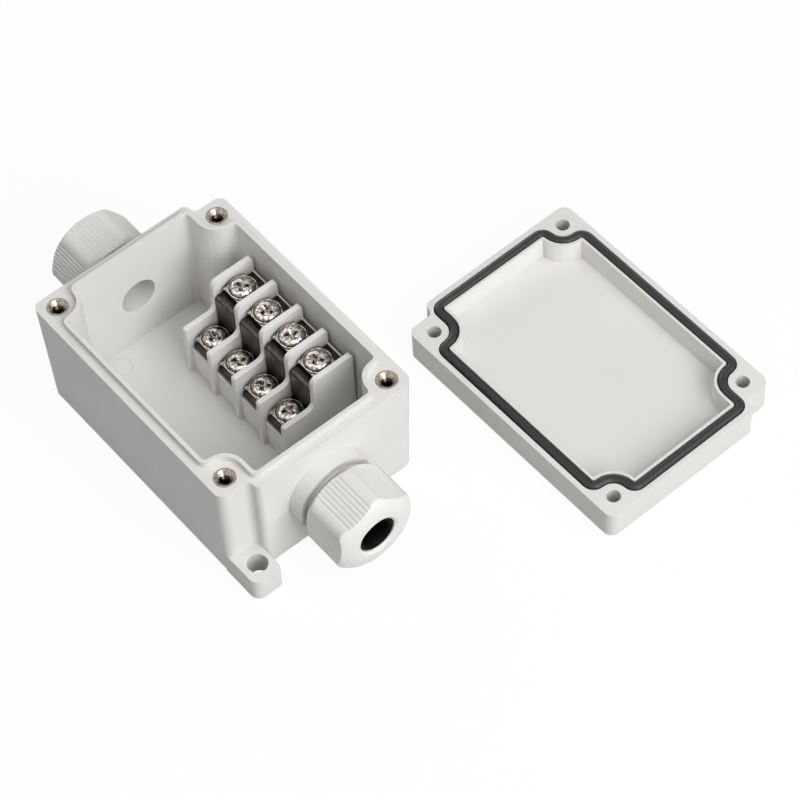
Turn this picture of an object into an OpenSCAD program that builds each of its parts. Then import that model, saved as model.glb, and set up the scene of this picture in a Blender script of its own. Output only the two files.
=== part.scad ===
// Outdoor junction box with two moulded cable glands and a four pole barrier terminal block.
// The lid is off and lies beside the box with its inner side up.
// X runs along the gland axis, Z is up, and the origin is the centre of the underside of the box.

/* [Box] */
// Length of the box at its rim, along the gland axis
base_l = 95; // [88:0.5:115]
// Width of the box at its rim
base_w = 68; // [66:0.5:80]
// Height of the box up to the flat land of its rim
base_h = 43; // [42:0.5:55]
// Thickness of the floor
floor_t = 3; // [2:0.5:5]
// How far each wall leans in between the rim and the underside
wall_draft = 1.1; // [0.4:0.1:1.5]
// Radius of the upright corners
corner_r = 3; // [1.5:0.5:4]
// Depth of the notch at two opposite corners
notch_d = 4.2; // [3.6:0.1:4.6]
// Width of the notch, along the end wall
notch_w = 10.3; // [9.8:0.1:11]
// Size of the bevel round the underside
foot_bevel = 0.8; // [0.4:0.1:1.5]
// Height of the set back panel in the lower half of each end wall
panel_h = 20.5; // [16:0.5:22]
// How far the panel is set back behind the rim
panel_setback = 1; // [0.8:0.1:1.6]

/* [Rim and seal] */
// Width of the flat land round the rim
land_w = 2.75; // [2.6:0.05:3.2]
// Thickness of the raised sealing tongue
tongue_t = 1.35; // [1:0.05:1.5]
// Height of the tongue above the land
tongue_h = 2.1; // [1.5:0.1:2.2]
// Outside radius of the corner bosses, where the tongue wraps round them
boss_r = 7.1; // [6.6:0.1:7.4]
// Diameter of the rubber sealing cord
cord_d = 3.1; // [2.6:0.1:3.2]
// Distance from the edge of the lid to the middle of the sealing cord
cord_inset = 3.1; // [3:0.05:3.5]
// Depth of the groove that holds the cord
groove_d = 2.3; // [2:0.1:2.6]

/* [Lid] */
// Height of the lid
lid_h = 11.4; // [10:0.2:16]
// How far the edge of the lid stands out past the rim of the box
lid_over = 0.3; // [0:0.1:0.5]
// Depth of the tray inside the lid
tray_d = 7.2; // [5:0.2:8]
// Width of the lip between the groove and the tray
lip_w = 0.85; // [0.6:0.05:1.2]
// Height of the lip above the land of the lid
lip_h = 0.5; // [0.2:0.1:0.8]
// Radius of the four screw holes in the lid
lid_hole_r = 2.2; // [1.8:0.1:2.4]
// Where the middle of the lid lies beside the box
lid_place = [57.7, 92.65];
// How far the lid lies turned from the box, in degrees
lid_turn = 0.9; // [0:0.1:3]

/* [Screw inserts] */
// Distance from the end of the box to the middle of an insert
insert_x = 5.3; // [5:0.1:6]
// Distance from the side of the box to the middle of an insert
insert_y = 5.75; // [5.2:0.05:6.2]
// Outside radius of an insert
insert_r = 3.4; // [3:0.1:3.6]
// Length of an insert
insert_l = 10; // [6:0.5:14]
// Radius of the tapped hole in an insert
insert_bore_r = 1.65; // [1.2:0.05:2.1]
// Radius of the countersunk mouth of an insert
insert_mouth_r = 2.7; // [2.4:0.1:2.9]

/* [Mounting lugs] */
// How far a lug reaches from the middle of the box
lug_reach = 54.2; // [52:0.2:66]
// Width of a lug
lug_w = 9.9; // [9:0.1:10.2]
// Thickness of a lug
lug_t = 9; // [5:0.5:11]
// Radius of the hole in a lug
lug_hole_r = 3.2; // [2:0.1:3.4]
// Distance from the tip of a lug to the middle of its hole
lug_hole_x = 5.7; // [5:0.1:6.5]

/* [Cable glands] */
// Height of the gland axis
gland_z = 22.6; // [20:0.2:26]
// Radius of the collar moulded on the end wall
collar_r = 13.2; // [12.6:0.1:14]
// How far the collar stands out from the rim of the box
collar_l = 4.4; // [3:0.2:6]
// Radius of the threaded spigot under the dome nut
spigot_r = 10.8; // [10.2:0.1:11.2]
// Length of the spigot beyond the collar
spigot_l = 13; // [12:0.5:14]
// Radius of the wire hole through the end wall
wire_hole_r = 6.1; // [4:0.1:6.6]
// Radius of the rubber seal
seal_r = 8.5; // [7.6:0.1:8.8]
// Radius of the cable hole through the seal
seal_bore_r = 4.6; // [3:0.1:5]
// Length of the seal
seal_l = 11; // [9:0.5:11]
// Gap between the collar and the near dome nut
near_nut_gap = 2.4; // [1.4:0.1:2.8]
// Gap between the collar and the far dome nut
far_nut_gap = 1.4; // [1:0.1:2.8]
// Length of the dome nut
nut_l = 17.3; // [16:0.1:20]
// Width of the dome nut across its flats
nut_flats = 26; // [25:0.2:29]
// Radius of the opening in the front of the dome nut
nut_open_r = 6.3; // [5.2:0.1:6.8]
// Length of the domed front of the nut
nut_dome_l = 4.4; // [3:0.1:5]
// Number of grip grooves on each flat of the nut
nut_grooves = 7; // [3:1:7]
// Depth of a grip groove
nut_groove_d = 0.3; // [0.15:0.05:0.4]

/* [Terminal block] */
// Number of poles
poles = 4; // [2:1:4]
// Distance between neighbouring poles
pole_pitch = 11.9; // [11:0.1:12.6]
// Thickness of a barrier fin
fin_t = 1.8; // [1.2:0.1:2]
// Distance from the middle of the box to the first fin
block_x = 23.9; // [23.5:0.1:25.5]
// Depth of the block, from its free edge to its back
block_depth = 26.8; // [26:0.2:27]
// Depth of the lower tier of the fins
tier_depth = 11.6; // [11.2:0.1:12]
// Height of the fins at the lower tier, above the floor
low_fin_h = 20.9; // [19:0.1:23]
// Height of the fins at the upper tier, above the floor
high_fin_h = 34.1; // [33:0.1:36]
// Height of the lower terminals above the floor
low_tier_h = 13.5; // [12.5:0.1:14.5]
// Height of the upper terminals above the floor
high_tier_h = 28.4; // [27:0.1:29]
// Thickness of a conductor strip
strip_t = 1; // [0.6:0.1:1.4]
// How far the front end of a strip is turned down
strip_lip = 2.6; // [2:0.1:4]

/* [Terminal screws] */
// Radius of a screw head
head_r = 3.6; // [3:0.1:4]
// Height of a screw head
head_h = 2.6; // [2:0.1:3]
// Radius of the screw shank
shank_r = 1.9; // [1.4:0.05:2]
// Length of the screw shank
shank_l = 9; // [6:0.5:10]
// Width of the clamping washer, between the fins
washer_w = 9.4; // [8.6:0.1:9.5]
// Depth of the clamping washer, along the strip
washer_d = 8.4; // [8:0.1:8.8]
// Thickness of the clamping washer
washer_t = 1; // [0.6:0.1:1.4]
// Height of the round cup on the washer, which holds the screw head
cup_h = 0.9; // [0.5:0.1:1.2]
// Wall of the cup
cup_t = 0.4; // [0.3:0.05:0.5]

/* [Hidden] */
$fn = 64;
shell_colour = "gainsboro";
metal_colour = "silver";
rubber_colour = [0.08, 0.08, 0.09];
arc_steps = 6;
fit_gap = 0.1;
far_cut = 40;

// Places worked out from the sizes above
rim_w = land_w + tongue_t;
jog_r = notch_d / 2 - 0.05;
insert_at = [
    [-base_l / 2 + insert_x, -base_w / 2 + insert_y],
    [base_l / 2 - insert_x - notch_d, -base_w / 2 + insert_y],
    [base_l / 2 - insert_x, base_w / 2 - insert_y],
    [-base_l / 2 + insert_x + notch_d, base_w / 2 - insert_y]
];
inner_draft = wall_draft * 0.7;
cavity_fillet = 1.4;
collar_end = base_l / 2 + collar_l;
spigot_end = collar_end + spigot_l;
near_nut_start = collar_end + near_nut_gap;
far_nut_start = collar_end + far_nut_gap;
nut_seat = spigot_l - min(near_nut_gap, far_nut_gap) + 0.4;
seal_start = spigot_end - seal_l + 2.6;
seal_seat = seal_start - 0.1;
seal_neck = 1.5;
nut_bore_r = spigot_r + fit_gap;
nut_round = 4;
nut_groove_w = 1;
nut_groove_pitch = 1.4;
near_nut_turn = 23;
far_nut_turn = 5;
lug_hole_y = 5.3;
block_back = base_w / 2 - rim_w - inner_draft - 0.3;
block_front = block_back - block_depth;
step_y = block_front + tier_depth;
body_front = block_front + 1.4;
strip_inset = 0.6;
strip_w = pole_pitch - fin_t - 0.9;
strip_bend_r = 0.4;
strip_front = body_front + strip_inset;
low_z = floor_t + low_tier_h;
high_z = floor_t + high_tier_h;
sill_z = low_z - strip_lip - fit_gap;
cup_r = head_r + 0.2 + cup_t;
low_screw_y = step_y - strip_bend_r - max(washer_d / 2, cup_r) - fit_gap;
high_screw_y = step_y + 7.2;
strip_hole_r = shank_r + fit_gap;
pocket_r = shank_r + 0.3;
pocket_d = shank_l + 1;

function unit(v) = v / norm(v);

// Points of a closed outline whose corners, each given as [x, y, radius], are rounded by tangent arcs
function rounded(corners) = [
    for (i = [0 : len(corners) - 1])
        let (
            last = corners[(i + len(corners) - 1) % len(corners)],
            next = corners[(i + 1) % len(corners)],
            p = [corners[i][0], corners[i][1]],
            r = corners[i][2],
            a = unit([last[0], last[1]] - p),
            b = unit([next[0], next[1]] - p),
            half = acos(a * b) / 2,
            middle = p + unit(a + b) * r / sin(half),
            from = p + a * r / tan(half) - middle,
            to = p + b * r / tan(half) - middle,
            start = atan2(from[1], from[0]),
            turn = atan2(cross(from, to), from * to)
        )
        for (k = [0 : arc_steps])
            middle + r * [cos(start + turn * k / arc_steps), sin(start + turn * k / arc_steps)]
];

// Outline of the box and of the lid, moved in by an inset
function shell_outline(inset = 0) =
    let (x = base_l / 2 - inset, y = base_w / 2 - inset, n = notch_d, m = notch_w, r = corner_r - inset / 2)
    rounded([
        [-x, -y, r],
        [x - n, -y, r],
        [x - n, -y + m, jog_r],
        [x, -y + m, jog_r],
        [x, y, r],
        [-x + n, y, r],
        [-x + n, y - m, jog_r],
        [-x, y - m, jog_r]
    ]);

// Outline that runs round the inside of the rim and wraps round the four bosses, at a distance from the edge
function inner_outline(inset, wrap_r) =
    let (
        x = base_l / 2 - inset,
        y = base_w / 2 - inset,
        a = base_l / 2 - insert_x - wrap_r,
        b = base_w / 2 - insert_y - wrap_r,
        n = notch_d,
        r = max(0.3, cavity_fillet + rim_w - inset)
    )
    rounded([
        [-a, -y, r], [a - n, -y, r], [a - n, -b, wrap_r], [x, -b, r],
        [x, b, r], [a, b, wrap_r], [a, y, r], [-a + n, y, r],
        [-a + n, b, wrap_r], [-x, b, r], [-x, -b, r], [-a, -b, wrap_r]
    ]);

// A prism whose outline shrinks towards its underside by lean on every side
module drafted(outline, height, length, width, lean) {
    grow = [length / (length - 2 * lean), width / (width - 2 * lean)];
    linear_extrude(height = height, scale = grow, slices = 1)
        scale([1 / grow[0], 1 / grow[1]])
            polygon(outline);
}

// A solid with its outline in the Y and Z directions, carried along X
module along_x(x, length) {
    translate([x, 0, 0])
        rotate([90, 0, 90])
            linear_extrude(height = length)
                children();
}

// A cylinder or a revolved profile on the gland axis, pointing along +X from x
module on_gland_axis(x) {
    translate([x, 0, gland_z])
        rotate([0, 90, 0])
            children();
}

// Everything that stands at both ends of the box
module both_ends() {
    for (turn = [0, 180])
        rotate([0, 0, turn])
            children();
}

module wall_block() {
    lean = wall_draft * (base_h - foot_bevel) / base_h;
    foot_l = base_l - 2 * wall_draft;
    foot_w = base_w - 2 * wall_draft;
    translate([0, 0, foot_bevel])
        drafted(shell_outline(), base_h - foot_bevel, base_l, base_w, lean);
    linear_extrude(
        height = foot_bevel,
        slices = 1,
        scale = [foot_l / (foot_l - 2 * foot_bevel), foot_w / (foot_w - 2 * foot_bevel)]
    )
        scale([(foot_l - 2 * foot_bevel) / base_l, (foot_w - 2 * foot_bevel) / base_w])
            polygon(shell_outline());
}

module cavity() {
    height = base_h + tongue_h + 1 - floor_t;
    translate([0, 0, floor_t])
        drafted(
            inner_outline(rim_w, boss_r),
            height,
            base_l - 2 * rim_w,
            base_w - 2 * rim_w,
            inner_draft
        );
}

module end_panel() {
    side = base_w / 2 - notch_w - 4.2;
    translate([base_l / 2 - panel_setback, -side, -1])
        cube([5, side + base_w, panel_h + 1]);
}

module lug() {
    y = base_w / 2 - wall_draft;
    root = base_l / 2 - notch_d - 4;
    difference() {
        linear_extrude(height = lug_t)
            polygon(rounded([
                [root, -y, 0.5],
                [lug_reach, -y, 3],
                [lug_reach, -y + lug_w, 1.5],
                [root, -y + lug_w, 0.5]
            ]));
        translate([lug_reach - lug_hole_x, -y + lug_hole_y, -1])
            cylinder(r = lug_hole_r, h = lug_t + 2);
    }
}

module gland_spigot() {
    root = base_l / 2 - rim_w + tongue_t;
    on_gland_axis(root)
        cylinder(r1 = collar_r + 0.6, r2 = collar_r, h = collar_end - root);
    on_gland_axis(root)
        cylinder(r = spigot_r, h = spigot_end - root);
}

module gland_bore() {
    on_gland_axis(base_l / 2 - rim_w - 4)
        cylinder(r = wire_hole_r, h = far_cut);
    on_gland_axis(seal_seat)
        cylinder(r = seal_r + fit_gap, h = far_cut);
}

module base_housing() {
    color(shell_colour)
        difference() {
            union() {
                difference() {
                    wall_block();
                    both_ends() end_panel();
                }
                translate([0, 0, base_h - 0.01])
                    linear_extrude(height = tongue_h + 0.01)
                        polygon(inner_outline(land_w, boss_r - tongue_t));
                both_ends() lug();
                both_ends() gland_spigot();
            }
            cavity();
            both_ends() gland_bore();
            for (at = insert_at)
                translate([at[0], at[1], base_h - insert_l])
                    cylinder(r = insert_r, h = insert_l + 1);
        }
}

module insert(at) {
    mouth_d = insert_mouth_r - insert_bore_r;
    color(metal_colour)
        translate([at[0], at[1], base_h - insert_l])
            difference() {
                cylinder(r = insert_r, h = insert_l);
                translate([0, 0, -1])
                    cylinder(r = insert_bore_r, h = insert_l + 2);
                translate([0, 0, insert_l - mouth_d])
                    cylinder(r1 = insert_bore_r, r2 = insert_mouth_r + 0.1, h = mouth_d + 0.1);
            }
}

// The lid in its own place: outer face down, inner side up, its outline turned over
module place_lid() {
    translate([lid_place[0], lid_place[1], 0])
        rotate([0, 0, lid_turn])
            mirror([0, 1, 0])
                children();
}

module lid() {
    lip_inset = cord_inset + cord_d / 2 + fit_gap;
    lip_wrap = boss_r - rim_w + lip_inset;
    edge = foot_bevel;
    lid_l = base_l + 2 * lid_over;
    lid_w = base_w + 2 * lid_over;
    color(shell_colour)
        place_lid()
            difference() {
                union() {
                    translate([0, 0, edge])
                        linear_extrude(height = lid_h - edge)
                            polygon(shell_outline(-lid_over));
                    drafted(shell_outline(-lid_over), edge, lid_l, lid_w, edge);
                    linear_extrude(height = lid_h + lip_h)
                        polygon(inner_outline(lip_inset, lip_wrap));
                }
                translate([0, 0, lid_h - groove_d])
                    linear_extrude(height = groove_d + 1)
                        difference() {
                            polygon(inner_outline(lip_inset - cord_d - 2 * fit_gap,
                                lip_wrap - cord_d - 2 * fit_gap));
                            polygon(inner_outline(lip_inset, lip_wrap));
                        }
                translate([0, 0, lid_h - tray_d])
                    drafted(
                        inner_outline(lip_inset + lip_w, lip_wrap + lip_w),
                        tray_d + lip_h + 1,
                        base_l - 2 * (lip_inset + lip_w),
                        base_w - 2 * (lip_inset + lip_w),
                        0.5
                    );
                for (at = insert_at)
                    translate([at[0], at[1], -1])
                        cylinder(r = lid_hole_r, h = lid_h + 2);
            }
}

// A round cord whose middle follows a closed path in the XY plane
module closed_cord(path, r, sides) {
    n = len(path);
    points = [
        for (i = [0 : n - 1])
            let (
                along = unit(path[(i + 1) % n] - path[(i + n - 1) % n]),
                across = [along[1], -along[0]]
            )
            for (k = [0 : sides - 1])
                let (a = 360 * k / sides)
                [
                    path[i][0] + across[0] * r * cos(a),
                    path[i][1] + across[1] * r * cos(a),
                    r * sin(a)
                ]
    ];
    faces = [
        for (i = [0 : n - 1])
            for (k = [0 : sides - 1])
                let (j = (i + 1) % n, m = (k + 1) % sides)
                [i * sides + k, j * sides + k, j * sides + m, i * sides + m]
    ];
    polyhedron(points = points, faces = faces, convexity = 4);
}

module lid_gasket() {
    wrap = boss_r - rim_w + cord_inset;
    color(rubber_colour)
        place_lid()
            translate([0, 0, lid_h - groove_d + cord_d / 2 + fit_gap / 2])
                closed_cord(inner_outline(cord_inset, wrap), cord_d / 2, 10);
}

// Outline of the nut: a hexagon with rounded corners and a row of grip grooves on each flat
function nut_outline() =
    let (
        r = nut_flats / 2,
        half_side = r * tan(30) - nut_round * tan(30),
        round_at = (r - nut_round) / cos(30),
        first = -nut_groove_pitch * (nut_grooves - 1) / 2
    )
    [
        for (side = [0 : 5])
            let (a = 60 * side, out = [cos(a), sin(a)], along = [-sin(a), cos(a)])
            each concat(
                [r * out - half_side * along],
                [
                    for (i = [0 : nut_grooves - 1], step = [-0.5, 0, 0.5])
                        (r - (step == 0 ? nut_groove_d : 0)) * out
                            + (first + i * nut_groove_pitch + step * nut_groove_w) * along
                ],
                [
                    for (k = [0 : arc_steps - 1])
                        round_at * [cos(a + 30), sin(a + 30)]
                            + nut_round * [cos(a + 60 * k / arc_steps), sin(a + 60 * k / arc_steps)]
                ]
            )
    ];

// The dome nut, with its open end at z = 0 and its domed front at z = nut_l
module dome_nut_shape() {
    outer_r = nut_flats / 2 / cos(30);
    face_r = nut_open_r + 1;
    cone_z = nut_l - 1.6;
    back_bevel = 0.9;
    intersection() {
        rotate_extrude()
            polygon([
                [nut_bore_r, 0],
                [outer_r - 1.2 - back_bevel, 0],
                [outer_r, back_bevel + 1.2],
                [outer_r, nut_l - nut_dome_l],
                for (a = [15 : 15 : 75])
                    [
                        face_r + (outer_r - face_r) * cos(a),
                        nut_l - nut_dome_l + nut_dome_l * sin(a)
                    ],
                [face_r, nut_l],
                [nut_open_r, nut_l - 0.6],
                [nut_open_r, cone_z],
                [seal_r + 0.5, nut_seat + 0.6],
                [seal_r + 0.5, nut_seat],
                [nut_bore_r, nut_seat]
            ]);
        linear_extrude(height = nut_l)
            polygon(nut_outline());
    }
}

module near_dome_nut() {
    color(shell_colour)
        on_gland_axis(near_nut_start)
            rotate([0, 0, near_nut_turn])
                dome_nut_shape();
}

module far_dome_nut() {
    color(shell_colour)
        rotate([0, 0, 180])
            on_gland_axis(far_nut_start)
                rotate([0, 0, -far_nut_turn])
                    dome_nut_shape();
}

module seal_shape() {
    color(rubber_colour)
        on_gland_axis(seal_start)
            rotate_extrude()
                polygon([
                    [seal_bore_r, 0],
                    [seal_r, 0],
                    [seal_r, seal_l - seal_neck],
                    [seal_r - seal_neck, seal_l],
                    [seal_bore_r, seal_l]
                ]);
}

module near_seal() {
    seal_shape();
}

module far_seal() {
    rotate([0, 0, 180])
        seal_shape();
}

// Where pole i stands
function pole_x(i) = -block_x + fin_t / 2 + pole_pitch * (i - 0.5);

module fin_profile() {
    polygon(rounded([
        [block_front, floor_t, 0.2],
        [block_front, floor_t + low_fin_h, 0.8],
        [step_y, floor_t + low_fin_h, 2.4],
        [step_y, floor_t + high_fin_h, 2.4],
        [block_back, floor_t + high_fin_h, 0.8],
        [block_back, floor_t, 0.2]
    ]));
}

// Both tiers of the insulating body, shaped to carry the strips
module body_profile() {
    outer_r = strip_bend_r + strip_t;
    polygon(rounded([
        [body_front, floor_t, 0.1],
        [body_front, sill_z, 0.3],
        [strip_front + strip_t, sill_z, 0.1],
        [strip_front + strip_t, low_z - strip_t, strip_bend_r],
        [step_y + strip_t, low_z - strip_t, outer_r],
        [step_y + strip_t, high_z - strip_t, strip_bend_r],
        [block_back - strip_inset, high_z - strip_t, 0.1],
        [block_back - strip_inset, high_z, 0.1],
        [block_back, high_z, 0.1],
        [block_back, floor_t, 0.1]
    ]));
}

module terminal_block() {
    color(shell_colour)
        difference() {
            union() {
                along_x(-block_x, poles * pole_pitch + fin_t)
                    body_profile();
                for (i = [0 : poles])
                    along_x(-block_x + i * pole_pitch, fin_t)
                        fin_profile();
            }
            for (i = [1 : poles]) {
                translate([pole_x(i), low_screw_y, low_z - strip_t - pocket_d])
                    cylinder(r = pocket_r, h = pocket_d + 1);
                translate([pole_x(i), high_screw_y, high_z - strip_t - pocket_d])
                    cylinder(r = pocket_r, h = pocket_d + 1);
            }
        }
}

// A stepped conductor strip with its front end turned down over the sill
module strip(i) {
    back = block_back - strip_inset - fit_gap;
    outer_r = strip_bend_r + strip_t;
    if (i <= poles)
        color(metal_colour)
            difference() {
                along_x(pole_x(i) - strip_w / 2, strip_w)
                    polygon(rounded([
                        [strip_front, sill_z + fit_gap, 0.1],
                        [strip_front, low_z, outer_r],
                        [step_y, low_z, strip_bend_r],
                        [step_y, high_z, outer_r],
                        [back, high_z, 0.1],
                        [back, high_z - strip_t, 0.1],
                        [step_y + strip_t, high_z - strip_t, strip_bend_r],
                        [step_y + strip_t, low_z - strip_t, outer_r],
                        [strip_front + strip_t, low_z - strip_t, strip_bend_r],
                        [strip_front + strip_t, sill_z + fit_gap, 0.1]
                    ]));
                translate([pole_x(i), low_screw_y, low_z - strip_t - 1])
                    cylinder(r = strip_hole_r, h = strip_t + 2);
                translate([pole_x(i), high_screw_y, high_z - strip_t - 1])
                    cylinder(r = strip_hole_r, h = strip_t + 2);
            }
}

// A clamping washer with a round cup for the screw head
module washer_shape() {
    x = washer_w / 2;
    y = washer_d / 2;
    color(metal_colour)
        difference() {
            union() {
                linear_extrude(height = washer_t)
                    polygon(rounded([[-x, -y, 1.5], [x, -y, 1.5], [x, y, 1.5], [-x, y, 1.5]]));
                cylinder(r = cup_r, h = washer_t + cup_h);
            }
            translate([0, 0, washer_t])
                cylinder(r = cup_r - cup_t, h = cup_h + 1);
            translate([0, 0, -1])
                cylinder(r = strip_hole_r, h = washer_t + 2);
        }
}

module screw_shape() {
    crown = 1.1;
    color(metal_colour)
        difference() {
            rotate_extrude()
                polygon([
                    [0, washer_t - shank_l],
                    [shank_r - 0.4, washer_t - shank_l],
                    [shank_r, washer_t - shank_l + 0.4],
                    [shank_r, washer_t],
                    [head_r, washer_t],
                    [head_r, washer_t + head_h - crown],
                    for (a = [20 : 20 : 80])
                        [head_r * (0.55 + 0.45 * cos(a)), washer_t + head_h - crown + crown * sin(a)],
                    [0, washer_t + head_h]
                ]);
            for (turn = [0, 90])
                rotate([0, 0, turn])
                    translate([-2.1, -0.45, washer_t + head_h - 1.3])
                        cube([4.2, 0.9, 2]);
        }
}

// What is clamped on the lower terminal of pole i
module at_low(i) {
    if (i <= poles)
        translate([pole_x(i), low_screw_y, low_z])
            children();
}

// What is clamped on the upper terminal of pole i
module at_high(i) {
    if (i <= poles)
        translate([pole_x(i), high_screw_y, high_z])
            children();
}

base_housing();
lid();
lid_gasket();
insert(insert_at[0]);  // insert_1
insert(insert_at[1]);  // insert_2
insert(insert_at[2]);  // insert_3
insert(insert_at[3]);  // insert_4
near_dome_nut();
far_dome_nut();
near_seal();
far_seal();
terminal_block();
strip(1);  // strip_1
strip(2);  // strip_2
strip(3);  // strip_3
strip(4);  // strip_4
at_low(1) washer_shape();  // low_washer_1
at_low(2) washer_shape();  // low_washer_2
at_low(3) washer_shape();  // low_washer_3
at_low(4) washer_shape();  // low_washer_4
at_high(1) washer_shape();  // high_washer_1
at_high(2) washer_shape();  // high_washer_2
at_high(3) washer_shape();  // high_washer_3
at_high(4) washer_shape();  // high_washer_4
at_low(1) screw_shape();  // low_screw_1
at_low(2) screw_shape();  // low_screw_2
at_low(3) screw_shape();  // low_screw_3
at_low(4) screw_shape();  // low_screw_4
at_high(1) screw_shape();  // high_screw_1
at_high(2) screw_shape();  // high_screw_2
at_high(3) screw_shape();  // high_screw_3
at_high(4) screw_shape();  // high_screw_4
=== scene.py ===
"""The looks of an outdoor junction box with two cable glands. Its lid lies beside it, inner side up."""
import math

import bmesh
import bpy
from mathutils import Matrix, Vector

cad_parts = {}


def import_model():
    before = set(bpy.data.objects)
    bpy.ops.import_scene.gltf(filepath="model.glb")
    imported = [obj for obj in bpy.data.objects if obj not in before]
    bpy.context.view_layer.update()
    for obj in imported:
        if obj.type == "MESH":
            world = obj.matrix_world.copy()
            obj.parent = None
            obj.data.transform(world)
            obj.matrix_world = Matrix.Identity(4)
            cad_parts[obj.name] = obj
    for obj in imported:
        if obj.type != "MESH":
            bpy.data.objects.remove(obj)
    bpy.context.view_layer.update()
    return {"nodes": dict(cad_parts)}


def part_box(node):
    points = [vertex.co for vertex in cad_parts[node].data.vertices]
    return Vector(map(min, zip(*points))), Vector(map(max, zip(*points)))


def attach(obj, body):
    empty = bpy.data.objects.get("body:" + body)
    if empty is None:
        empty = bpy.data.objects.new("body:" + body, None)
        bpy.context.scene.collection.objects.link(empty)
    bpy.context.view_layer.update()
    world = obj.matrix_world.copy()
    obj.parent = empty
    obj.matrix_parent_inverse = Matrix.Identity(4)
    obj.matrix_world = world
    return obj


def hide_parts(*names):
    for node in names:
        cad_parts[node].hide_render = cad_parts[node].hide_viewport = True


MM = 0.001

# Colours, as linear red, green and blue
SHELL_COLOUR = (0.76, 0.75, 0.725)
BLOCK_COLOUR = (0.82, 0.81, 0.79)
# Painted shade: a dark brown that stands for the shade in the gap between the collar and the nut.
THREAD_SHADE_COLOUR = (0.42, 0.36, 0.32)
# The colour of painted shade, towards which corners and slots darken.
PAINTED_SHADE_COLOUR = (0.20, 0.165, 0.15)
RUBBER_COLOUR = (0.010, 0.010, 0.011)
SEAL_COLOUR = (0.004, 0.004, 0.005)
NICKEL_COLOUR = (0.60, 0.555, 0.505)
# Painted shade: a near-black that stands for the shade on the strips between the tiers.
STRIP_SHADE_COLOUR = (0.09, 0.078, 0.07)
INSERT_COLOUR = (0.40, 0.345, 0.29)

# The photograph's camera, in pixels of its square frame, the part's own millimetres and degrees
PICTURE = 800
FOCAL_PIXELS = 3349.3
CENTRE_PIXEL = (397.7, 399.0)
CAMERA_PLACE = (492.25, -304.0, 836.81)
CAMERA_YAW, CAMERA_PITCH, CAMERA_ROLL = 143.270, 55.168, -3.659
SENSOR_WIDTH = 36.0
NEAREST_SEEN = 0.01

# The lamps: azimuth and elevation in degrees, and power in watts
LAMPS = {
    "key": (0, 42, 9.5),
    "low_key": (0, 14, 5.5),
    "right_fill": (40, 45, 3),
    "left_fill": (240, 45, 2),
    "top_fill": (0, 85, 3.2),
    "back_fill": (170, 20, 4),
}
LAMP_SIZE = 0.8
LAMP_DISTANCE = 1.3
LAMPS_FACE = (0.02, 0.03, 0.02)

# The studio round the object: the size of its panels, where their edges lie in the noise, and their strength
PANEL_SCALE = 1.9
PANEL_EDGE = (0.46, 0.56)
PANEL_DIM, PANEL_PALE = 0.02, 0.16

# The floor: its grey as the camera sees it and as it throws light back, and how much of it glows white
FLOOR_SIZE = 6.0
FLOOR_DROP = 0.2 * MM
FLOOR_SEEN = (0.95, 0.95, 0.95)
FLOOR_THROWN = (0.35, 0.35, 0.35)
FLOOR_GLOW = 0.93

# Sizes that the new pieces take over from the solids, in metres
FLOOR_Z = 3.0 * MM
GLAND_Z = 22.6 * MM
COLLAR_END = 51.9 * MM
SPIGOT_END = 64.9 * MM
SPIGOT_R = 10.8 * MM
SEAL_BORE_R = 4.6 * MM
SHANK_R = 1.9 * MM
SHANK_END = -8.0 * MM
CLAMP_X = 4.7 * MM
CLAMP_Y = 4.2 * MM
CUP_T = 0.4 * MM
INSERT_R = 3.4 * MM
INSERT_L = 10.0 * MM
INSERT_BORE_R = 1.65 * MM
INSERT_MOUTH_R = 2.7 * MM

# The pitches of the threads, which are those of the coupled joints
SCREW_PITCH = 0.7 * MM
SPIGOT_PITCH = 1.5 * MM

# The screw's head, wider and higher than the solid's, from the top of the strip upwards
HEAD_R = 3.95 * MM
HEAD_BOTTOM = 2.4 * MM
HEAD_TOP = 4.5 * MM
CROWN = 1.3 * MM
CROWN_STEPS = 8
CROWN_STEP_DEGREES = 11
CROWN_FLAT_SHARE = 0.55
SCREW_TURNS = {"low": (12, 57, 31, 84), "high": (40, 8, 66, 23)}

# The cross recess: half the length and width of a blade at its top and foot, and the cone in the middle
RECESS_ABOVE = 0.4 * MM
BLADE_TOP = (2.75 * MM, 0.7 * MM)
BLADE_FOOT = (1.1 * MM, 0.45 * MM)
BLADE_DEPTH = 1.7 * MM
CONE_TOP_R = 1.7 * MM
CONE_FOOT_R = 0.6 * MM
CONE_DEPTH = 1.9 * MM
CONE_SIDES = 8

# The saddle clamp and its cup, which stand higher than the solid's flat plate
CLAMP_T = 0.8 * MM
CLAMP_BEND = 0.9 * MM
CLAMP_CORNER = 0.2 * MM
CLAMP_HOLE_GAP = 0.2 * MM
CUP_R = HEAD_R + 0.2 * MM + CUP_T
CUP_TOP = 3.35 * MM

# The seal's front lip and the ejector mark, which the solids don't have
LIP_R = 6.15 * MM
LIP_SET_BACK = 0.6 * MM
EJECTOR_PLACE = (-37.5 * MM, -13.0 * MM)
EJECTOR_R = 3.3 * MM
EJECTOR_H = 0.14 * MM

# How the meshes are made: points in a loop, rows of a thread in a pitch, the hole left at a loop's middle,
# how far a piece is sunk into what carries it, and the angles in degrees from which an edge stays sharp
LOOP_POINTS = 48
THREAD_STEPS = 7
HUB_R = 0.05 * MM
SUNK = 0.05 * MM
SHARP_DEGREES = 38
CUT_SHARP_DEGREES = 30

# The sockets of a colour mix node and of a shader mix node, which share their names and so need a number
MIX_FIRST, MIX_SECOND, MIX_RESULT = 6, 7, 2
SHADER_FIRST, SHADER_SECOND = 1, 2


def link(obj):
    """Puts an object into the scene."""
    bpy.context.scene.collection.objects.link(obj)
    return obj


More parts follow.
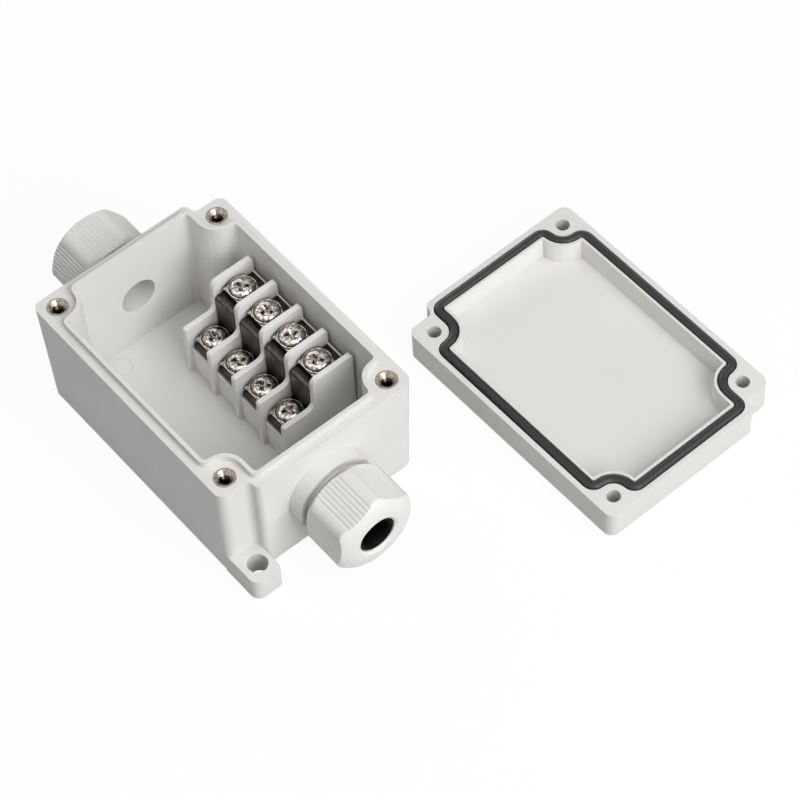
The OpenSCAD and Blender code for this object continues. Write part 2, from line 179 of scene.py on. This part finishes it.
def add_camera():
    """The camera at the photograph's place, with its small shift."""
    yaw, pitch, roll = (math.radians(a) for a in (CAMERA_YAW, CAMERA_PITCH, CAMERA_ROLL))
    forward = Vector((math.cos(pitch) * math.cos(yaw), math.cos(pitch) * math.sin(yaw), -math.sin(pitch)))
    level = Vector((math.sin(yaw), -math.cos(yaw), 0))
    above = level.cross(forward)
    right = math.cos(roll) * level + math.sin(roll) * above
    up = -math.sin(roll) * level + math.cos(roll) * above
    data = bpy.data.cameras.new("camera")
    data.sensor_width = SENSOR_WIDTH
    data.lens = FOCAL_PIXELS / PICTURE * SENSOR_WIDTH
    data.shift_x = (PICTURE / 2 - CENTRE_PIXEL[0]) / PICTURE
    data.shift_y = (CENTRE_PIXEL[1] - PICTURE / 2) / PICTURE
    data.clip_start = NEAREST_SEEN
    camera = link(bpy.data.objects.new("camera", data))
    turn = Matrix((right, up, -forward)).transposed().to_4x4()
    camera.matrix_world = Matrix.Translation(Vector(CAMERA_PLACE) * MM) @ turn
    bpy.context.scene.camera = camera


class Nodes:
    """Short calls for building the node tree of a material or of the world."""

    def __init__(self, tree, coordinates):
        self.tree = tree
        self.place = self.add("ShaderNodeTexCoord").outputs[coordinates]

    def add(self, kind, **values):
        node = self.tree.nodes.new(kind)
        for key, value in values.items():
            setattr(node, key, value)
        return node

    def link(self, source, target):
        self.tree.links.new(source, target)

    def noise(self, scale, detail=3.0, roughness=0.5):
        node = self.add("ShaderNodeTexNoise")
        node.inputs["Scale"].default_value = scale
        node.inputs["Detail"].default_value = detail
        node.inputs["Roughness"].default_value = roughness
        self.link(self.place, node.inputs["Vector"])
        return node.outputs["Fac"]

    def span(self, source, low, high, start=0.0, end=1.0):
        """A value that goes from low to high as the source goes from start to end."""
        node = self.add("ShaderNodeMapRange")
        node.inputs["From Min"].default_value = start
        node.inputs["From Max"].default_value = end
        node.inputs["To Min"].default_value = low
        node.inputs["To Max"].default_value = high
        self.link(source, node.inputs["Value"])
        return node.outputs["Result"]

    def larger(self, first, second):
        node = self.add("ShaderNodeMath", operation="MAXIMUM")
        self.link(first, node.inputs[0])
        self.link(second, node.inputs[1])
        return node.outputs[0]

    def times(self, source, factor):
        node = self.add("ShaderNodeMath", operation="MULTIPLY")
        self.link(source, node.inputs[0])
        node.inputs[1].default_value = factor
        return node.outputs[0]


class MaterialNodes(Nodes):
    """The node tree of a new material, with its shader and its output."""

    def __init__(self, name):
        self.material = bpy.data.materials.new(name)
        self.material.use_nodes = True
        super().__init__(self.material.node_tree, "Object")
        self.shader = self.tree.nodes["Principled BSDF"]
        self.output = self.tree.nodes["Material Output"]

    def colours(self, source, stops):
        """A colour ramp, from pairs of a place and a colour."""
        node = self.add("ShaderNodeValToRGB")
        ramp = node.color_ramp
        while len(ramp.elements) < len(stops):
            ramp.elements.new(0.5)
        for element, (place, colour) in zip(ramp.elements, stops):
            element.position = place
            element.color = (*colour, 1)
        self.link(source, node.inputs["Fac"])
        return node.outputs["Color"]

    def mixed(self, share, first, second):
        """The colour that goes from first to second as share goes from 0 to 1."""
        node = self.add("ShaderNodeMix", data_type="RGBA")
        self.link(share, node.inputs["Factor"])
        for value, socket in ((first, node.inputs[MIX_FIRST]), (second, node.inputs[MIX_SECOND])):
            if isinstance(value, tuple):
                socket.default_value = (*value, 1)
            else:
                self.link(value, socket)
        return node.outputs[MIX_RESULT]

    def openness(self, reach):
        """1 in the open and towards 0 deep in a corner or a slot, looked for over a distance."""
        node = self.add("ShaderNodeAmbientOcclusion", samples=6)
        node.inputs["Distance"].default_value = reach
        return node.outputs["AO"]

    def soft_edges(self, radius):
        """A normal that rounds off sharp edges, as moulding and plating do."""
        node = self.add("ShaderNodeBevel", samples=6)
        node.inputs["Radius"].default_value = radius
        return node.outputs["Normal"]

    def bump(self, source, strength, distance, under):
        """A normal with bumps of a height, on top of the normal under it."""
        node = self.add("ShaderNodeBump")
        node.inputs["Strength"].default_value = strength
        node.inputs["Distance"].default_value = distance
        self.link(source, node.inputs["Height"])
        self.link(under, node.inputs["Normal"])
        return node.outputs["Normal"]

    def feed(self, socket, source):
        """Links a source to a socket of the shader."""
        self.link(source, self.shader.inputs[socket])

    def set(self, **values):
        """Sets sockets of the shader to constants. An underscore stands for a space."""
        for key, value in values.items():
            self.shader.inputs[key.replace("_", " ")].default_value = value


def scaled(colour, factor):
    return tuple(min(1.0, c * factor) for c in colour)


def plastic(name, colour, roughness, edge, painted_shade_reach, painted_shade_share):
    """Satin moulded plastic: a fine grain, slow flow marks, and painted shade that greys the deep corners.
    """
    n = MaterialNodes(name)
    flow = n.noise(35, detail=3, roughness=0.55)
    clean = n.colours(flow, [(0.3, scaled(colour, 0.985)), (0.7, scaled(colour, 1.015))])
    # Painted shade: the colour turns dark and warm in corners, slots and under things, where little light
    # reaches.
    deep = n.span(n.openness(painted_shade_reach), painted_shade_share, 0.0, start=0.05, end=0.6)
    n.feed("Base Color", n.mixed(deep, clean, PAINTED_SHADE_COLOUR))
    wear = n.noise(220, detail=4)
    n.feed("Roughness", n.span(wear, roughness - 0.05, roughness + 0.06, start=0.3, end=0.7))
    grain = n.bump(n.noise(2600, detail=2), 0.12, 0.04 * MM, under=n.soft_edges(edge))
    n.feed("Normal", n.bump(n.noise(60, detail=2), 0.08, 0.4 * MM, under=grain))
    n.set(Specular_IOR_Level=0.32)
    return n.material


def rubber(name, colour, edge, shine):
    """Black rubber: a fine moulded skin and a little bloom."""
    n = MaterialNodes(name)
    bloom = n.noise(900, detail=5, roughness=0.6)
    n.feed("Base Color", n.colours(bloom, [(0.35, scaled(colour, 0.8)), (0.75, scaled(colour, 1.7))]))
    n.feed("Roughness", n.span(bloom, 0.34, 0.48, start=0.3, end=0.7))
    n.feed("Normal", n.bump(n.noise(3000, detail=3), 0.2, 0.05 * MM, under=n.soft_edges(edge)))
    n.set(Specular_IOR_Level=shine)
    return n.material


def nickel(name, colour, roughness, edge, hollow_reach, reflection_contrast=1.0):
    """Bright nickel plate: small waves from turning, painted shade that darkens the hollows, painted
    reflection as random dark and bright areas, and an uneven polish.
    """
    n = MaterialNodes(name)
    # Painted reflection: random dark and bright areas in the colour stand in for what the metal would
    # mirror.
    reflection_patches = n.noise(1100, detail=3, roughness=0.6)
    clean = n.colours(reflection_patches, [(0.36, scaled(colour, 1 - 0.8 * reflection_contrast)), (0.5, scaled(colour, 0.85)),
                                (0.64, scaled(colour, 1 + 0.45 * reflection_contrast))])
    # Painted shade: the colour goes almost to black in hollows and gaps.
    hollow = n.span(n.openness(hollow_reach), 0.95, 0.0, start=0.1, end=0.8)
    n.feed("Base Color", n.mixed(hollow, clean, scaled(colour, 0.06)))
    polish = n.noise(1500, detail=4)
    n.feed("Roughness", n.span(polish, roughness, roughness + 0.12, start=0.3, end=0.7))
    fine = n.bump(n.noise(4000, detail=2), 0.15, 0.03 * MM, under=n.soft_edges(edge))
    n.feed("Normal", n.bump(n.noise(900, detail=2), 0.6, 0.2 * MM, under=fine))
    n.set(Metallic=1.0)
    return n.material


def show(obj, material):
    """Gives an object one material."""
    obj.data.materials.clear()
    obj.data.materials.append(material)


def closed_grid(rows):
    """A closed surface from rows of points. Each row is a loop, and the last row joins the first."""
    mesh = bpy.data.meshes.new("grid")
    columns = len(rows[0])
    points = [p for row in rows for p in row]
    faces = []
    for i in range(len(rows)):
        j = (i + 1) % len(rows)
        for k in range(columns):
            m = (k + 1) % columns
            faces.append((i * columns + k, i * columns + m, j * columns + m, j * columns + k))
    mesh.from_pydata(points, [], faces)
    finish_mesh(mesh, SHARP_DEGREES)
    return mesh


def finish_mesh(mesh, sharp_degrees):
    """Outward normals, smooth shading, and sharp edges where two faces meet at more than an angle."""
    work = bmesh.new()
    work.from_mesh(mesh)
    bmesh.ops.recalc_face_normals(work, faces=work.faces)
    work.to_mesh(mesh)
    work.free()
    mesh.shade_smooth()
    mesh.set_sharp_from_angle(angle=math.radians(sharp_degrees))


def loop(radius, z):
    """A level loop of points. radius is a number or a function of the share of a turn."""
    at = radius if callable(radius) else (lambda share: radius)
    return [(at(k / LOOP_POINTS) * math.cos(2 * math.pi * k / LOOP_POINTS),
             at(k / LOOP_POINTS) * math.sin(2 * math.pi * k / LOOP_POINTS), z) for k in range(LOOP_POINTS)]


def thread_rows(root, crest, pitch, start, end):
    """Rows of a helical thread between two heights, which fades out over half a pitch at each end."""
    count = max(2, round(abs(end - start) / pitch * THREAD_STEPS))
    rows = []
    for i in range(count + 1):
        z = start + (end - start) * i / count
        fade = min(1, min(abs(z - start), abs(end - z)) / (0.5 * pitch))

        def radius(share, z=z, fade=fade):
            wave = (z / pitch - share) % 1
            return root + (crest - root) * fade * (1 - abs(2 * wave - 1))

        rows.append(loop(radius, z))
    return rows


def add_piece(name, mesh, body, material, place=(0, 0, 0), turn=None):
    """A new piece at a place, in a given body and with one material."""
    obj = link(bpy.data.objects.new(name, mesh))
    spin = turn.to_4x4() if turn else Matrix.Identity(4)
    obj.matrix_world = Matrix.Translation(Vector(place)) @ spin
    show(obj, material)
    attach(obj, body)
    return obj


def middle(node):
    """The middle of a node's box, seen from above."""
    low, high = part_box(node)
    return (low[0] + high[0]) / 2, (low[1] + high[1]) / 2


def recess_cutter():
    """A cross recess: two tapered blades and the cone in their middle."""
    top = HEAD_TOP + RECESS_ABOVE
    work = bmesh.new()
    for turn in (0, math.pi / 2):
        spin = Matrix.Rotation(turn, 3, "Z")
        corners = []
        for (length, width), z in ((BLADE_TOP, top), (BLADE_FOOT, HEAD_TOP - BLADE_DEPTH)):
            corners += [work.verts.new(spin @ Vector((a * length, b * width, z)))
                        for a, b in ((-1, -1), (1, -1), (1, 1), (-1, 1))]
        bmesh.ops.convex_hull(work, input=corners)
    rim = []
    for radius, z in ((CONE_TOP_R, top), (CONE_FOOT_R, HEAD_TOP - CONE_DEPTH)):
        for k in range(CONE_SIDES):
            a = 2 * math.pi * (k + 0.5) / CONE_SIDES
            rim.append(work.verts.new((radius * math.cos(a), radius * math.sin(a), z)))
    bmesh.ops.convex_hull(work, input=rim)
    mesh = bpy.data.meshes.new("recess")
    work.to_mesh(mesh)
    work.free()
    return mesh


def cut(mesh, cutter_mesh, rounding):
    """A mesh with a cutter taken out of it and its edges slightly rounded."""
    body = link(bpy.data.objects.new("to_cut", mesh))
    cutter = link(bpy.data.objects.new("cutter", cutter_mesh))
    boolean = body.modifiers.new("cut", "BOOLEAN")
    boolean.operation = "DIFFERENCE"
    boolean.solver = "EXACT"
    boolean.use_self = True
    boolean.object = cutter
    bevel = body.modifiers.new("round", "BEVEL")
    bevel.width = rounding
    bevel.segments = 2
    bevel.limit_method = "ANGLE"
    bevel.angle_limit = math.radians(SHARP_DEGREES)
    graph = bpy.context.evaluated_depsgraph_get()
    made = bpy.data.meshes.new_from_object(body.evaluated_get(graph), depsgraph=graph)
    for obj in (body, cutter):
        bpy.data.objects.remove(obj)
    return made


def screw_mesh():
    """A terminal screw: a domed head with a cross recess, and a threaded shank."""
    tip, thread_depth, neck, edge = 0.4 * MM, 0.32 * MM, 0.1 * MM, 0.15 * MM
    thread_start, thread_end = SHANK_END + 0.1 * MM, HEAD_BOTTOM - 0.3 * MM
    rows = [loop(HUB_R, SHANK_END), loop(SHANK_R - tip, SHANK_END)]
    rows += thread_rows(SHANK_R - thread_depth, SHANK_R, SCREW_PITCH, thread_start, thread_end)
    rows += [loop(SHANK_R - neck, HEAD_BOTTOM), loop(HEAD_R - edge, HEAD_BOTTOM),
             loop(HEAD_R, HEAD_BOTTOM + edge), loop(HEAD_R, HEAD_TOP - CROWN)]
    for step in range(1, CROWN_STEPS + 1):
        a = math.radians(step * CROWN_STEP_DEGREES)
        share = CROWN_FLAT_SHARE + (1 - CROWN_FLAT_SHARE) * math.cos(a)
        rows.append(loop(HEAD_R * share, HEAD_TOP - CROWN + CROWN * math.sin(a)))
    rows += [loop(HEAD_R * 0.3, HEAD_TOP), loop(HUB_R, HEAD_TOP)]
    made = cut(closed_grid(rows), recess_cutter(), 0.06 * MM)
    finish_mesh(made, CUT_SHARP_DEGREES)
    return made


def saddle_outline():
    """The clamp's outline from the front: a plate with rounded shoulders on two legs."""
    top, shoulder = HEAD_BOTTOM, CLAMP_X - CLAMP_BEND
    leg, under, corner = CLAMP_X - CLAMP_T, HEAD_BOTTOM - CLAMP_T, CLAMP_CORNER
    outline = [(CLAMP_X, 0), (CLAMP_X, top - CLAMP_BEND)]
    outline += [(shoulder + CLAMP_BEND * math.cos(a), top - CLAMP_BEND + CLAMP_BEND * math.sin(a))
                for a in (math.pi / 8, math.pi / 4, 3 * math.pi / 8)]
    outline += [(shoulder, top)]
    outline += [(-x, z) for x, z in reversed(outline)]
    outline += [(-leg, 0), (-leg, under - corner), (-leg + corner, under),
                (leg - corner, under), (leg, under - corner), (leg, 0)]
    return outline


def cup_mesh():
    """The round cup on the clamp that holds the screw's head."""
    foot, flare, edge = HEAD_BOTTOM - SUNK, 0.25 * MM, 0.1 * MM
    inner = CUP_R - CUP_T
    return closed_grid([loop(CUP_R - flare, foot), loop(CUP_R, HEAD_BOTTOM + flare),
                        loop(CUP_R, CUP_TOP - edge), loop(CUP_R - edge, CUP_TOP),
                        loop(inner + edge, CUP_TOP), loop(inner, CUP_TOP - edge),
                        loop(inner, foot)])


def clamp_mesh():
    """A saddle clamp: a plate on two legs, open at the front for the wire, with a cup for the head."""
    work = bmesh.new()
    corners = [work.verts.new((x, -CLAMP_Y, z)) for x, z in saddle_outline()]
    face = work.faces.new(corners)
    pushed = bmesh.ops.extrude_face_region(work, geom=[face])["geom"]
    moved = [v for v in pushed if isinstance(v, bmesh.types.BMVert)]
    bmesh.ops.translate(work, verts=moved, vec=(0, 2 * CLAMP_Y, 0))
    bmesh.ops.recalc_face_normals(work, faces=work.faces)
    saddle = bpy.data.meshes.new("saddle")
    work.to_mesh(saddle)
    work.free()
    hole_r = SHANK_R + CLAMP_HOLE_GAP
    low, high = -MM, HEAD_BOTTOM + MM
    hole = closed_grid([loop(HUB_R, low), loop(hole_r, low), loop(hole_r, high), loop(HUB_R, high)])
    made = cut(saddle, hole, 0.14 * MM)
    work = bmesh.new()
    work.from_mesh(made)
    work.from_mesh(cup_mesh())
    work.to_mesh(made)
    work.free()
    finish_mesh(made, CUT_SHARP_DEGREES)
    return made


def insert_mesh():
    """A threaded insert with a chamfered mouth."""
    rim, mouth_edge, thread_stop = 0.12 * MM, 0.08 * MM, 0.2 * MM
    root, crest = INSERT_BORE_R + 0.02 * MM, INSERT_BORE_R + 0.34 * MM
    low, mouth_end = -INSERT_L, -(INSERT_MOUTH_R - INSERT_BORE_R)
    rows = [loop(INSERT_R, low), loop(INSERT_R, -rim), loop(INSERT_R - rim, 0),
            loop(INSERT_MOUTH_R + mouth_edge, 0), loop(INSERT_MOUTH_R, -mouth_edge)]
    rows += thread_rows(root, crest, SCREW_PITCH, mouth_end, low + thread_stop)
    rows.append(loop(root, low))
    return closed_grid(rows)


def spigot_thread_mesh():
    """The moulded thread of a gland, as a sleeve on the spigot, along Z from the collar's end."""
    start, end = 0.3 * MM, SPIGOT_END - COLLAR_END - 0.5 * MM
    inner, root, crest = SPIGOT_R - 0.5 * MM, SPIGOT_R - 0.1 * MM, SPIGOT_R + 0.28 * MM
    rows = [loop(inner, start)]
    rows += thread_rows(root, crest, SPIGOT_PITCH, start, end)
    rows.append(loop(inner, end))
    return closed_grid(rows)


def lip_mesh(length):
    """The front lip of a gland seal, which fills the mouth of the dome nut, along Z from the seal."""
    back, foot, edge = -0.1 * MM, 0.4 * MM, 0.5 * MM
    mouth, mouth_start, mouth_end = 0.6 * MM, length - 0.3 * MM, length - 1.2 * MM
    return closed_grid([loop(LIP_R - foot, back), loop(LIP_R, foot),
                        loop(LIP_R, length - edge), loop(LIP_R - edge, length),
                        loop(SEAL_BORE_R + mouth, mouth_start),
                        loop(SEAL_BORE_R, mouth_end), loop(SEAL_BORE_R, back)])


def ejector_mesh():
    """The faint raised ring that an ejector pin leaves on the floor of the box."""
    foot, top = 0.24 * MM, 0.1 * MM
    return closed_grid([loop(EJECTOR_R - foot, -SUNK), loop(EJECTOR_R - top, EJECTOR_H),
                        loop(EJECTOR_R + top, EJECTOR_H), loop(EJECTOR_R + foot, -SUNK)])


def add_terminals(material):
    """The clamps and screws of both tiers. Each stands for its plain solid, on the same strip."""
    screw, clamp = screw_mesh(), clamp_mesh()
    for tier, angles in SCREW_TURNS.items():
        for number, angle in enumerate(angles, start=1):
            washer, node = f"{tier}_washer_{number}", f"{tier}_screw_{number}"
            place = (*middle(node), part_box(washer)[0][2])
            piece = add_piece(f"{tier}_clamp_{number}", clamp, f"{washer}_body",
                              material, place)
            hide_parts(washer)
            piece = add_piece(f"{node}_detailed", screw, f"{node}_body", material,
                              place, Matrix.Rotation(math.radians(angle), 3, "Z"))
            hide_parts(node)


def add_inserts(material):
    """The threaded inserts. Each stands for its plain solid."""
    mesh = insert_mesh()
    for number in range(1, 5):
        node = f"insert_{number}"
        x, y = middle(node)
        piece = add_piece(f"{node}_threaded", mesh, "root", material,
                          (x, y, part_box(node)[1][2]))
        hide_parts(node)


def add_gland_details(thread_material, rubber_material):
    """The spigots' threads and the seals' lips."""
    thread = spigot_thread_mesh()
    for side, sign in (("near", 1), ("far", -1)):
        turn = Matrix.Rotation(sign * math.pi / 2, 3, "Y")
        add_piece(f"{side}_spigot_thread", thread, "root", thread_material,
                  (sign * COLLAR_END, 0, GLAND_Z), turn)
        front = max(sign * corner[0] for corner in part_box(f"{side}_seal"))
        nut_front = max(sign * corner[0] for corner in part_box(f"{side}_dome_nut"))
        add_piece(f"{side}_seal_lip", lip_mesh(nut_front - front - LIP_SET_BACK), f"{side}_seal_body",
                  rubber_material, (sign * front, 0, GLAND_Z), turn)


def add_floor():
    """A plain pale floor that carries the object's shadow, and throws little light back up at it."""
    mesh = bpy.data.meshes.new("floor")
    h = FLOOR_SIZE / 2
    mesh.from_pydata([(-h, -h, 0), (h, -h, 0), (h, h, 0), (-h, h, 0)], [], [(0, 1, 2, 3)])
    floor = link(bpy.data.objects.new("floor", mesh))
    floor.location.z = -FLOOR_DROP
    n = MaterialNodes("floor_paper")
    n.set(Roughness=0.9, Specular_IOR_Level=0.1)
    glow = n.add("ShaderNodeEmission")
    path = n.add("ShaderNodeLightPath")
    n.feed("Base Color", n.mixed(path.outputs["Is Camera Ray"], FLOOR_THROWN, FLOOR_SEEN))
    seen = n.larger(path.outputs["Is Camera Ray"], path.outputs["Is Glossy Ray"])
    mix = n.add("ShaderNodeMixShader")
    n.link(n.times(seen, FLOOR_GLOW), mix.inputs["Fac"])
    n.link(n.shader.outputs["BSDF"], mix.inputs[SHADER_FIRST])
    n.link(glow.outputs["Emission"], mix.inputs[SHADER_SECOND])
    n.link(mix.outputs["Shader"], n.output.inputs["Surface"])
    floor.data.materials.append(n.material)


def add_light(name, azimuth, elevation, power):
    """A soft square lamp on a dome round the object, which it faces."""
    a, e = math.radians(azimuth), math.radians(elevation)
    direction = Vector((math.cos(e) * math.cos(a), math.cos(e) * math.sin(a), math.sin(e)))
    data = bpy.data.lights.new(name, "AREA")
    data.size = LAMP_SIZE
    data.energy = power
    lamp = link(bpy.data.objects.new(name, data))
    lamp.location = Vector(LAMPS_FACE) + LAMP_DISTANCE * direction
    lamp.rotation_euler = (Vector(LAMPS_FACE) - lamp.location).to_track_quat("-Z", "Y").to_euler()


def add_world():
    """A dim studio with a few pale panels. The camera and reflections see plain white."""
    world = bpy.data.worlds.new("studio")
    world.use_nodes = True
    bpy.context.scene.world = world
    n = Nodes(world.node_tree, "Generated")
    low, high = PANEL_EDGE
    strength = n.span(n.noise(PANEL_SCALE, detail=1.0), PANEL_DIM, PANEL_PALE, start=low, end=high)
    path = n.add("ShaderNodeLightPath")
    for ray in ("Is Camera Ray", "Is Glossy Ray", "Is Transmission Ray"):
        strength = n.larger(strength, path.outputs[ray])
    shade = n.tree.nodes["Background"]
    n.link(strength, shade.inputs["Strength"])
    shade.inputs["Color"].default_value = (1, 1, 1, 1)


def make_materials():
    """Every material of the object, by a short name."""
    return {
        "shell": plastic("shell_plastic", SHELL_COLOUR, roughness=0.42, edge=0.3 * MM,
                         painted_shade_reach=10 * MM, painted_shade_share=0.32),
        "nut": plastic("nut_plastic", scaled(SHELL_COLOUR, 1.04), roughness=0.40, edge=0.25 * MM,
                       painted_shade_reach=3 * MM, painted_shade_share=0.12),
        # Painted shade: the thread's dark colour and its strong darkening in hollows.
        "thread": plastic("thread_plastic_painted_shade", THREAD_SHADE_COLOUR, roughness=0.42, edge=0.1 * MM,
                          painted_shade_reach=3 * MM, painted_shade_share=0.9),
        "block": plastic("block_plastic", BLOCK_COLOUR, roughness=0.46, edge=0.12 * MM,
                         painted_shade_reach=9 * MM, painted_shade_share=0.45),
        "cord": rubber("cord_rubber", RUBBER_COLOUR, edge=0.9 * MM, shine=0.4),
        "seal": rubber("seal_rubber", SEAL_COLOUR, edge=0.2 * MM, shine=0.03),
        "nickel": nickel("bright_nickel", NICKEL_COLOUR, roughness=0.12, edge=0.08 * MM,
                         hollow_reach=2.5 * MM),
        # Painted shade: the strips' near-black colour and their darkening in hollows.
        "strip": nickel("strip_nickel_painted_shade", STRIP_SHADE_COLOUR, roughness=0.3, edge=0.3 * MM,
                        hollow_reach=7 * MM, reflection_contrast=0.4),
        "insert": nickel("insert_nickel", INSERT_COLOUR, roughness=0.14, edge=0.06 * MM,
                         hollow_reach=4 * MM, reflection_contrast=0.5),
    }


def dress_nodes(nodes, materials):
    """Gives each carried-over solid its material."""
    for name, obj in nodes.items():
        if name in ("base_housing", "lid"):
            show(obj, materials["shell"])
        elif name.endswith("dome_nut"):
            show(obj, materials["nut"])
        elif name == "terminal_block":
            show(obj, materials["block"])
        elif name == "lid_gasket":
            show(obj, materials["cord"])
        elif name.endswith("seal"):
            show(obj, materials["seal"])
        elif name.startswith("strip"):
            show(obj, materials["strip"])
        else:
            show(obj, materials["nickel"])


def main():
    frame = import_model()
    bpy.context.scene.view_settings.view_transform = "Standard"
    add_camera()
    add_world()
    for name, (azimuth, elevation, power) in LAMPS.items():
        add_light(name, azimuth, elevation, power)
    add_floor()
    materials = make_materials()
    dress_nodes(frame["nodes"], materials)
    add_terminals(materials["nickel"])
    add_inserts(materials["insert"])
    add_gland_details(materials["thread"], materials["seal"])
    add_piece("ejector_mark", ejector_mesh(), "root", materials["shell"],
              (*EJECTOR_PLACE, FLOOR_Z))


main()
